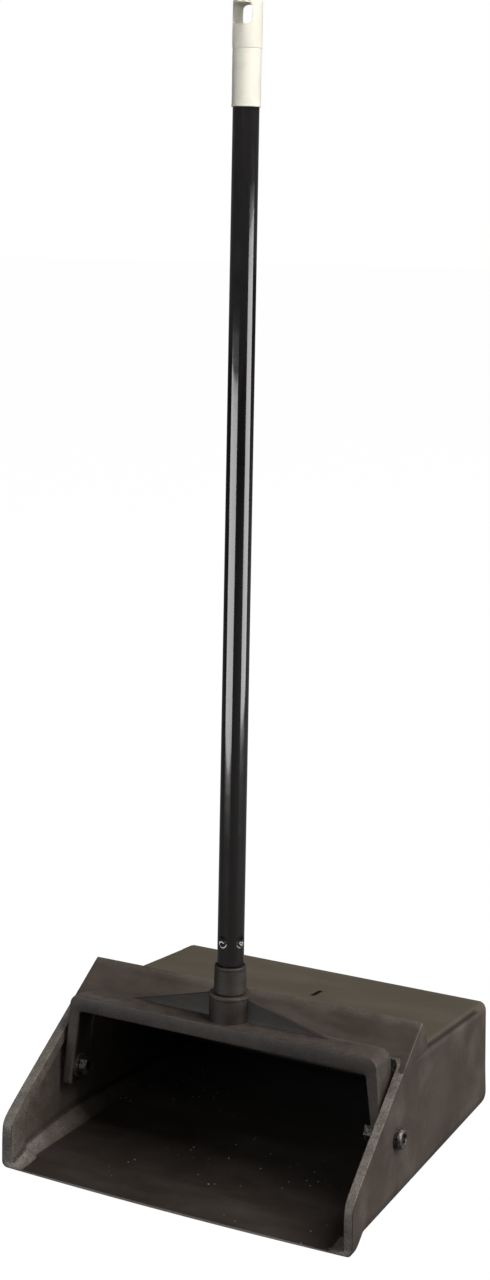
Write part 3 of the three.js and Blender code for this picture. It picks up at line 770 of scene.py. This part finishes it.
def makeBail():
    # rings across the yoke's outline from foot to foot; the arms' feet are drawn in as a
    # quarter circle
    y = yokeShape
    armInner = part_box("nut_washer_right")[1][0] / mm + y["armGap"]
    foot = y["foot"]
    halfDeep = (y["rear"] - y["front"]) / 2
    middleY = (y["rear"] + y["front"]) / 2
    armShares = 0.4 * np.concatenate([np.linspace(0, 0.04, 8)[:-1], np.linspace(0.04, 1, 40)])
    share = np.concatenate([armShares, np.linspace(0.4, 0.6, 22)[1:], np.linspace(0.6, 1, 40)[1:]])
    inner = archPath(foot, armInner, y["innerSplay"], y["barBottom"], y["innerRadius"], share)
    outer = archPath(foot, armInner + y["arm"], y["outerSplay"], y["barTop"], y["outerRadius"], share)
    inner = np.concatenate([inner, (inner[:-1] * [-1, 1])[::-1]])
    outer = np.concatenate([outer, (outer[:-1] * [-1, 1])[::-1]])
    height = (inner[:, 1] + outer[:, 1]) / 2
    r = y["footRadius"]
    below = np.clip((foot + r - height) / r, 0, 1)
    deep = halfDeep - r * (1 - np.sqrt(1 - below**2))
    # the section: a rounded rectangle in depth and thickness, with a hollow in its inner face
    quarter = np.linspace(0, math.pi / 2, 5)
    corner = np.stack([np.cos(quarter), np.sin(quarter)], axis=-1)
    rows = []
    # 1 along the bar and 0 on the arms
    alongBar = smoothStep(-np.abs(inner[:, 0]), *y["hollowEnds"])
    hollow = ((-1, 0), (-1, 0.06), (-0.99, 0.96), (-0.97, 1), (0.97, 1), (0.99, 0.96), (1, 0.06), (1, 0))
    edge = y["edge"]
    for i in range(len(inner)):
        across = outer[i] - inner[i]
        thick = np.linalg.norm(across)
        d = deep[i]
        points = [(d - edge + edge * c[0], thick - edge + edge * c[1]) for c in corner]
        points += [(-(d - edge + edge * c[0]), thick - edge + edge * c[1]) for c in corner[::-1]]
        points += [(-(d - edge + edge * c[0]), edge - edge * c[1]) for c in corner]
        wallIn = max(d - y["skin"], d * 0.3)
        rise = y["hollow"] * alongBar[i]
        points += [(wallIn * aside, rise * lift) for aside, lift in hollow]
        points += [(d - edge + edge * c[0], edge - edge * c[1]) for c in corner[::-1]]
        points = np.array(points)
        place = inner[i] + points[:, 1:] / thick * across
        rows.append(np.stack([place[:, 0], middleY + points[:, 0], place[:, 1]], axis=-1))
    rows = handleFrame(np.array(rows))
    piece = closedSurface("yokeBail", rows, 38)
    wearAndLight = np.zeros(rows.shape[:2])
    wearAndLight[:, :11] = 0.25
    wearAndLight[:, 11:15] = 0.35
    # painted shade in the hollow of the yoke's inner face
    shade = np.zeros(rows.shape[:2])
    shade[:, 16:22] = 1
    shade[:, [15, 22]] = 0.6
    setAttribute(piece, "wearAndLight", np.concatenate([wearAndLight.ravel(), [0.2, 0.2]]))
    setAttribute(piece, "shade", np.concatenate([shade.ravel(), [0, 0]]))
    finishPiece(piece, yokePlastic, "handle", "yoke_plastic", "yoke")


bossShape = {"top": 84.9, "radius": 17.2, "lip": 17.8, "socket": 9.7, "notchAngle": -0.5, "notchDepth": 0.035}


def makeBoss():
    # a turned boss with a lip, an open socket and one small notch in its lip
    b = bossShape
    base, top = yokeShape["barTop"], b["top"]
    profile = roundedProfile([
        [0.3, base - 8], [9, base - 8], [13, base - 4], [b["radius"], base - 1.5],
        [b["radius"], top - 2.6, 0.4], [b["lip"] - 0.05, top - 2.4, 0.3], [b["lip"], top, 1.0],
        [b["socket"] + 0.5, top, 0.5], [b["socket"], top - 1.5, 0.4], [b["socket"], top - 6], [0.3, top - 6],
    ])
    rows = turnedRows(profile, 96)
    angle = np.arctan2(rows[..., 1], rows[..., 0])
    notch = np.exp(-((angle - b["notchAngle"]) / 0.07) ** 2) * smoothStep(rows[..., 2], top - 2.7, top - 2.3)
    onLip = np.hypot(rows[..., 0], rows[..., 1]) > 17
    rows[..., :2] *= (1 - b["notchDepth"] * notch * onLip)[..., None]
    rows[..., 1] += handleShape["offset"]
    piece = closedSurface("yokeBoss", handleFrame(rows), 35)
    finishPiece(piece, yokePlastic, "handle", "yoke_plastic", "yoke")


gussetShape = {"reach": 91.5, "belowTop": 2.6, "thin": 1.5, "flare": 0.6}


def makeGusset():
    # a thin web that rises from the bar to the boss on both sides, with a flared foot
    reach, thin = gussetShape["reach"], gussetShape["thin"]
    base, top = yokeShape["barTop"], bossShape["top"] - gussetShape["belowTop"]
    x = np.concatenate([-np.linspace(1, 0.02, 30), [0], np.linspace(0.02, 1, 30)]) * reach
    ridge = base + (top - base) * np.clip((reach - np.abs(x)) / (reach - bossShape["radius"]), 0, 1)
    rows = []
    for xi, zi in zip(x, ridge):
        rise = zi - base
        flare = thin + min(gussetShape["flare"], 0.1 * rise)
        section = [(flare, -1.2), (thin + 0.4 * (flare - thin), 0.25 * min(rise, 4))]
        section += [(thin, 0.6 * min(rise, 5)), (thin, rise - 0.35), (thin - 0.5, rise)]
        right = np.array(section)
        left = right[::-1] * [-1, 1]
        aside, up = np.concatenate([right, left]).T
        rows.append(np.stack([np.full(len(up), xi), aside + handleShape["offset"], base + up], axis=-1))
    piece = closedSurface("yokeGusset", handleFrame(np.array(rows)), 30)
    setAttribute(piece, "wearAndLight", np.full(len(piece.data.vertices), 0.08))
    # painted shade over the whole web
    setAttribute(piece, "shade", np.full(len(piece.data.vertices), 0.45))
    finishPiece(piece, yokePlastic, "handle", "yoke_plastic", "yoke")


pivotBossShape = {"radius": 10.4, "width": 10.5, "edge": 0.8, "gap": 0.3}


def makePivotBosses():
    # short turned bosses round the pivots, just outside the nuts' washers
    p = pivotBossShape
    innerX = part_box("nut_washer_right")[1][0] / mm + p["gap"]
    corners = [[p["radius"], 0, p["edge"]], [p["radius"], p["width"], p["edge"]]]
    profile = roundedProfile([[0.3, 0]] + corners + [[0.3, p["width"]]])
    for side, name in ((1, "yokePivotBossRight"), (-1, "yokePivotBossLeft")):
        rows = turnedRows(profile, 64, "x") + [innerX, 0, 0]
        rows[..., 0] *= side
        piece = closedSurface(name, handleFrame(rows))
        finishPiece(piece, yokePlastic, "handle", "yoke_plastic", "yoke")


makeBail()
makeBoss()
makeGusset()
makePivotBosses()
print("yoke made")


ferruleShape = {"foot": 85.3, "low": 13.2, "bulge": 13.65, "waist": 13.0, "bead": 13.25, "plug": 9.8}


def makeFerrule():
    # the tapered collar with a small bead at its top, between a short spigot down into the
    # boss and a short plug up into the tube
    f = ferruleShape
    foot = f["foot"]
    profile = roundedProfile([
        [0.3, foot - 5], [9.2, foot - 5], [9.2, foot], [f["low"], foot, 0.5],
        [f["bulge"], foot + 1.2, 0.5], [f["waist"], foot + 20.2, 0.6], [f["bead"], foot + 20.7, 0.3],
        [f["bead"] - 0.1, foot + 22.6, 0.8], [11.7, foot + 22.9, 0.4], [11.3, foot + 21.2, 0.3],
        [f["plug"], foot + 21.2], [f["plug"], foot + 27], [0.3, foot + 27],
    ])
    rows = turnedRows(profile, 96)
    rows[..., 1] += handleShape["offset"]
    piece = closedSurface("ferruleCollar", handleFrame(rows), 35)
    setAttribute(piece, "wearAndLight", np.full(len(piece.data.vertices), 0.12))
    finishPiece(piece, ferrulePlastic, "handle", "ferrule_plastic", "ferrule")


tubeShape = {
    "radius": 11.1,
    "foot": 108.6,
    "length": 738.0,
    "dimpleHeight": 20.5,
    "dimpleDepth": 2.1,
    "dimpleWidth": 3.6,
    "dimpleAngles": (-103, -13, 77, 167),
}


def makeTube():
    # the tube's outside with softened, closed ends and a ring of four crimps, each a steep
    # round dent
    s = tubeShape
    low, high = s["foot"], s["foot"] + s["length"]
    near = low + s["dimpleHeight"]
    heights = np.concatenate([[low, low, low + 0.3, low + 0.9], np.linspace(low + 4, near - 7, 4)])
    heights = np.concatenate([heights, np.linspace(near - 6, near + 6, 25)])
    heights = np.concatenate([heights, np.linspace(near + 10, high - 2, 40), [high - 0.4, high, high]])
    radii = np.full(len(heights), s["radius"])
    radii[[0, -1]] = s["radius"] - 0.9
    radii[[1, -2]] = s["radius"] - 0.4
    radii[2] = s["radius"] - 0.12
    rows = turnedRows(np.stack([radii, heights], axis=-1), 128)
    angle = np.degrees(np.arctan2(rows[..., 1], rows[..., 0]))
    for place in s["dimpleAngles"]:
        away = (angle - place + 180) % 360 - 180
        across = np.radians(away) * s["radius"]
        distance = np.hypot(across, rows[..., 2] - near)
        dent = 1 - s["dimpleDepth"] * np.exp(-((distance / s["dimpleWidth"]) ** 4)) / s["radius"]
        rows[..., :2] *= dent[..., None]
    rows[..., 1] += handleShape["offset"]
    piece = closedSurface("handleTube", handleFrame(rows), 40)
    finishPiece(piece, tubePaint, "handle", "painted_tube", "handle_tube")


capShape = {
    "sleeve": 12.05,
    "head": 12.42,
    "overlap": 30,
    "sleeveLength": 48.0,
    "headLength": 39.9,
    "window": 17.8,
    "windowRadius": 4.4,
    "band": 2.6,
    "softEdge": 0.5,
}


def makeCap():
    # sleeve, seam and head as one turned shape, with a window cut through the head
    s = capShape
    foot = tubeShape["foot"] + tubeShape["length"] - s["overlap"]
    seam, top = foot + s["sleeveLength"], foot + s["sleeveLength"] + s["headLength"]
    profile = roundedProfile([
        [11.2, foot + 4], [11.35, foot, 0.3], [12.25, foot, 0.25], [12.3, foot + 1.1, 0.3],
        [s["sleeve"], foot + 1.5, 0.3], [s["sleeve"], foot + 20], [s["sleeve"], seam - 1.0, 0.3],
        [s["sleeve"] - 0.25, seam - 0.7, 0.2], [s["sleeve"] - 0.2, seam - 0.1, 0.2],
        [s["head"], seam + 0.2, 0.3], [s["head"], seam + 12], [s["head"], top - 12],
        [s["head"] - 0.05, top, 2.2], [0.3, top],
    ], 7)
    rows = turnedRows(profile, 128)
    rows = np.concatenate([turnedRows([[0.3, foot + 4]], 128), rows])
    rows[..., 1] += handleShape["offset"]
    piece = closedSurface("hangerCap", rows, 35)
    half, high = s["window"] / 2, top - s["band"]
    offset = handleShape["offset"]
    low = [-half, -30 + offset, high - s["window"]]
    box = roundedBox(low, [half, 30 + offset, high], s["windowRadius"], 8)
    cutWith(piece, closedSurface("windowCutter", box))
    coordinates = np.empty(len(piece.data.vertices) * 3)
    piece.data.vertices.foreach_get("co", coordinates)
    placed = handleFrame(coordinates.reshape(-1, 3) / mm) * mm
    piece.data.vertices.foreach_set("co", placed.ravel())
    piece.data.update()
    rim = piece.modifiers.new("softWindow", "BEVEL")
    rim.width = s["softEdge"] * mm
    rim.segments = 2
    rim.limit_method = "ANGLE"
    rim.angle_limit = math.radians(60)
    finishPiece(piece, capPlastic, "handle", "cap_plastic", "hanger_cap")


makeFerrule()
makeTube()
makeCap()
print("handle made")

boltShape = {"radius": 8.0, "height": 3.8, "socket": 2.8, "shank": 4.0, "keyRadius": 4.3}


def makeBoltHead(side):
    # a domed head with a hexagonal socket: the inner rings turn from round to six-sided
    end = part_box("pivot_bolt_right")[1][0] / mm
    start = end - boltShape["height"]
    r = boltShape["radius"]
    shank, key, socketEnd = boltShape["shank"], boltShape["keyRadius"], end - boltShape["socket"]
    profile = roundedProfile([
        [0.3, start - 9], [shank, start - 9], [shank, start], [r - 0.3, start, 0.3], [r, start + 0.5, 0.3],
        [r, start + 1.7, 0.5], [r * 0.93, start + 2.9, 1.0], [r * 0.8, end, 0.6], [4.9, end, 0.25],
        [4.35, end - 0.45, 0.1], [key, socketEnd, 0.2], [0.3, socketEnd - 0.5],
    ], 4)
    rows = turnedRows(profile, 96, "x")
    angle = np.arctan2(rows[..., 2], rows[..., 1])
    radius = np.hypot(rows[..., 1], rows[..., 2])
    six = math.cos(math.pi / 6) / np.cos((angle % (math.pi / 3)) - math.pi / 6)
    inSocket = (radius < 4.6) & (rows[..., 0] > start + 0.5)
    rows[..., 1:] *= np.where(inSocket, six * 1.06, 1)[..., None]
    rows[..., 0] *= side
    piece = closedSurface("pivotBoltRight" if side > 0 else "pivotBoltLeft", handleFrame(rows), 30)
    node = "pivot_bolt_right" if side > 0 else "pivot_bolt_left"
    finishPiece(piece, boltSteel, "pan", "blackened_bolt", node)


for side in (1, -1):
    makeBoltHead(side)

# the washers, bushes and nuts keep their exact solids and only get a look
cadLooks = {
    "pivot_washer": boltSteel,
    "pivot_bush": ferrulePlastic,
    "nut_washer": dullSteel,
    "pivot_nut": dullSteel,
}
for name, finish in cadLooks.items():
    for side in ("_right", "_left"):
        node = frame["nodes"][name + side]
        node.data.materials.clear()
        node.data.materials.append(finish)
print("fasteners made")

stageLook = {
    "floorSize": 14.0,
    "floorDrop": 0.0004,
    "floorGray": 0.16,
    "floorShare": 0.12,
    "floorWhite": 1.12,
    "backdrop": 1.0,
    "ambient": 0.16,
}


def seenWhite(tree, seen, lighting):
    # mixes two shaders: the first where it is looked at directly, the second where it lights things
    path = tree.nodes.new("ShaderNodeLightPath")
    mixer = tree.nodes.new("ShaderNodeMixShader")
    tree.links.new(path.outputs["Is Camera Ray"], mixer.inputs["Fac"])
    tree.links.new(lighting, mixer.inputs[1])
    tree.links.new(seen, mixer.inputs[2])
    return mixer.outputs["Shader"]


def makeFloor():
    # a plain floor: nearly white where it is seen, gray where it lights the object
    size = stageLook["floorSize"]
    floorMesh = bpy.data.meshes.new("floor")
    corners = [(-size, -size, 0), (size, -size, 0), (size, size, 0), (-size, size, 0)]
    floorMesh.from_pydata(corners, [], [(0, 1, 2, 3)])
    floor = bpy.data.objects.new("floor", floorMesh)
    floor.location.z = -stageLook["floorDrop"]
    bpy.context.scene.collection.objects.link(floor)
    pale = Nodes("paleFloor")
    paper = pale.set(Base_Color=gray(stageLook["floorGray"]), Roughness=0.9, Specular_IOR_Level=0.1)
    glow = pale.add("Emission", {"Color": gray(1.0), "Strength": stageLook["floorWhite"]})
    parts = {"Fac": stageLook["floorShare"], 1: glow.outputs[0], 2: pale.shader.outputs[0]}
    part = pale.add("MixShader", parts)
    seen = seenWhite(pale.tree, part.outputs[0], pale.shader.outputs[0])
    pale.tree.links.new(seen, pale.tree.nodes["Material Output"].inputs["Surface"])
    floor.data.materials.append(paper)


def makeWorld():
    # white where it is seen, dim where it lights the object
    world = bpy.data.worlds.new("studio")
    bpy.context.scene.world = world
    world.use_nodes = True
    tree = world.node_tree
    dim = tree.nodes["Background"]
    dim.inputs["Color"].default_value = gray(1.0)
    dim.inputs["Strength"].default_value = stageLook["ambient"]
    white = tree.nodes.new("ShaderNodeBackground")
    white.inputs["Color"].default_value = gray(1.0)
    white.inputs["Strength"].default_value = stageLook["backdrop"]
    seen = seenWhite(tree, white.outputs[0], dim.outputs[0])
    tree.links.new(seen, tree.nodes["World Output"].inputs["Surface"])


def softLight(name, azimuth, elevation, distance, target, width, height, radiance,
              diffuse=True, glossy=True, spread=180, tint=(1, 1, 1)):
    # a rectangular light facing its target; azimuth is measured from the front towards the right
    turn, rise = math.radians(azimuth), math.radians(elevation)
    towards = Vector((math.sin(turn) * math.cos(rise), -math.cos(turn) * math.cos(rise), math.sin(rise)))
    data = bpy.data.lights.new(name, "AREA")
    data.shape = "RECTANGLE"
    data.size, data.size_y = width, height
    data.energy = radiance * math.pi * width * height
    data.spread = math.radians(spread)
    data.color = tint
    light = bpy.data.objects.new(name, data)
    bpy.context.scene.collection.objects.link(light)
    light.location = Vector(target) + distance * towards
    light.rotation_mode = "QUATERNION"
    light.rotation_quaternion = (-towards).to_track_quat("-Z", "Y")
    light.visible_diffuse = diffuse
    light.visible_glossy = glossy
    light.visible_camera = False


makeFloor()
makeWorld()
softLight("rightBox", 98, 0, 1.5, (0, 0, 0.40), 1.25, 0.76, 6.4, diffuse=False)
softLight("leftBox", -27, 0, 1.5, (0, 0, 0.31), 1.7, 0.58, 6.4, diffuse=False)
softLight("topBox", 98, 52, 4.5, (0, 0, 0.1), 3.0, 3.0, 9.8, tint=(1, 0.965, 0.93))
softLight("frontFill", 10, 38, 2.4, (0, 0, 0.1), 1.0, 1.0, 1.8)
softLight("capFill", 24, 8, 1.3, (0, 0.06, 0.9), 0.5, 0.3, 0.62, spread=16, glossy=False)

cameraShape = {
    "place": (0.8609, -1.6109, 0.8287),
    "azimuth": 28.46,
    "down": 2.50,
    "lens": 61.62,
    "shift": -0.3,
}
cameraData = bpy.data.cameras.new("camera")
cameraData.lens = cameraShape["lens"]
cameraData.shift_y = cameraShape["shift"]
camera = bpy.data.objects.new("camera", cameraData)
bpy.context.scene.collection.objects.link(camera)
camera.location = cameraShape["place"]
around, down = math.radians(cameraShape["azimuth"]), math.radians(cameraShape["down"])
back = Vector((math.sin(around) * math.cos(down), -math.cos(around) * math.cos(down), math.sin(down)))
camera.rotation_mode = "QUATERNION"
camera.rotation_quaternion = (-back).to_track_quat("-Z", "Y")
bpy.context.scene.camera = camera
bpy.context.scene.view_settings.view_transform = "Standard"
print("stage made")
